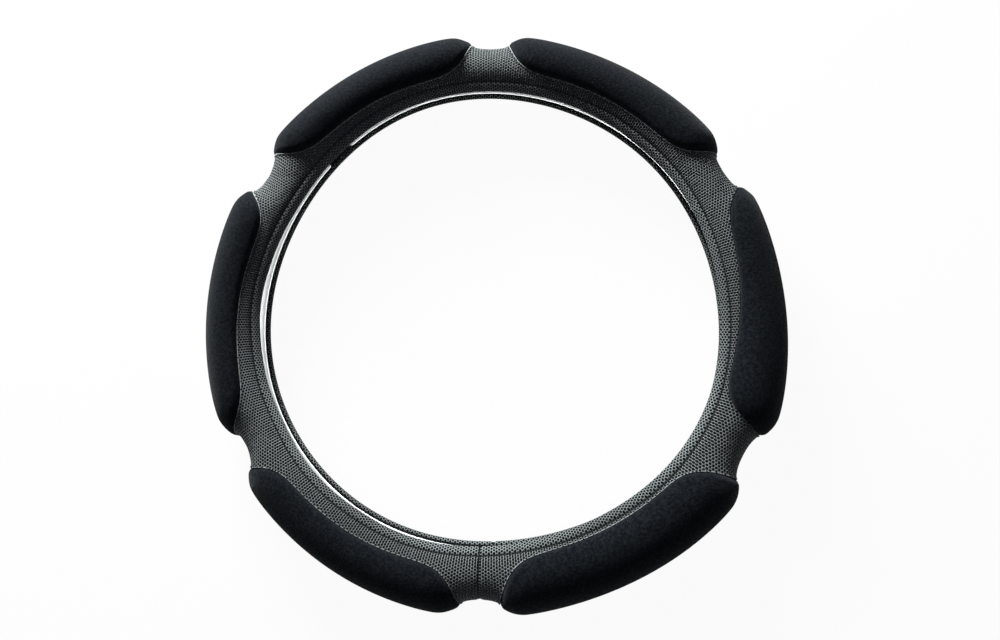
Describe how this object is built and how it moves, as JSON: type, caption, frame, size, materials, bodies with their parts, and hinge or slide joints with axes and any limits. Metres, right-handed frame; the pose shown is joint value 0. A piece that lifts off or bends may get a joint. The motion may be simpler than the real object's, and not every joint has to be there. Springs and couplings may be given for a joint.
{
  "type": "steering wheel cover",
  "caption": "Soft ring that slips over a steering wheel's rim: crowned velour pads sewn into a dotted mesh sleeve over a white rubber ring of C section.",
  "frame": {"origin": "centre of the ring, on the surface that the cover lies on", "axes": "+Z along the wheel's axis towards the driver, +Y towards twelve o'clock on the wheel, with the closing seam at -Y"},
  "size_m": [0.401, 0.3926, 0.047],
  "materials": {
    "white_rubber": "smooth matte white rubber",
    "mesh_cloth": "dark grey knitted mesh with round holes, laminated on thin foam",
    "black_velour": "near black short-pile velour",
    "grey_foam": "open-cell foam, hidden",
    "black_thread": "black polyester sewing thread"
  },
  "bodies": {
    "root": {"inner_ring": "white_rubber", "mesh_sleeve": "mesh_cloth", "velour_panel_1": "black_velour", "velour_panel_2": "black_velour", "velour_panel_3": "black_velour", "velour_panel_4": "black_velour", "velour_panel_5": "black_velour", "velour_panel_6": "black_velour", "foam_pad_1": "grey_foam", "foam_pad_2": "grey_foam", "foam_pad_3": "grey_foam", "foam_pad_4": "grey_foam", "foam_pad_5": "grey_foam", "foam_pad_6": "grey_foam", "panel_seam_thread_1": "black_thread", "panel_seam_thread_2": "black_thread", "panel_seam_thread_3": "black_thread", "panel_seam_thread_4": "black_thread", "panel_seam_thread_5": "black_thread", "panel_seam_thread_6": "black_thread", "front_hem_thread": "black_thread", "rear_hem_thread": "black_thread", "closing_seam_thread": "black_thread"}
  },
  "joints": []
}
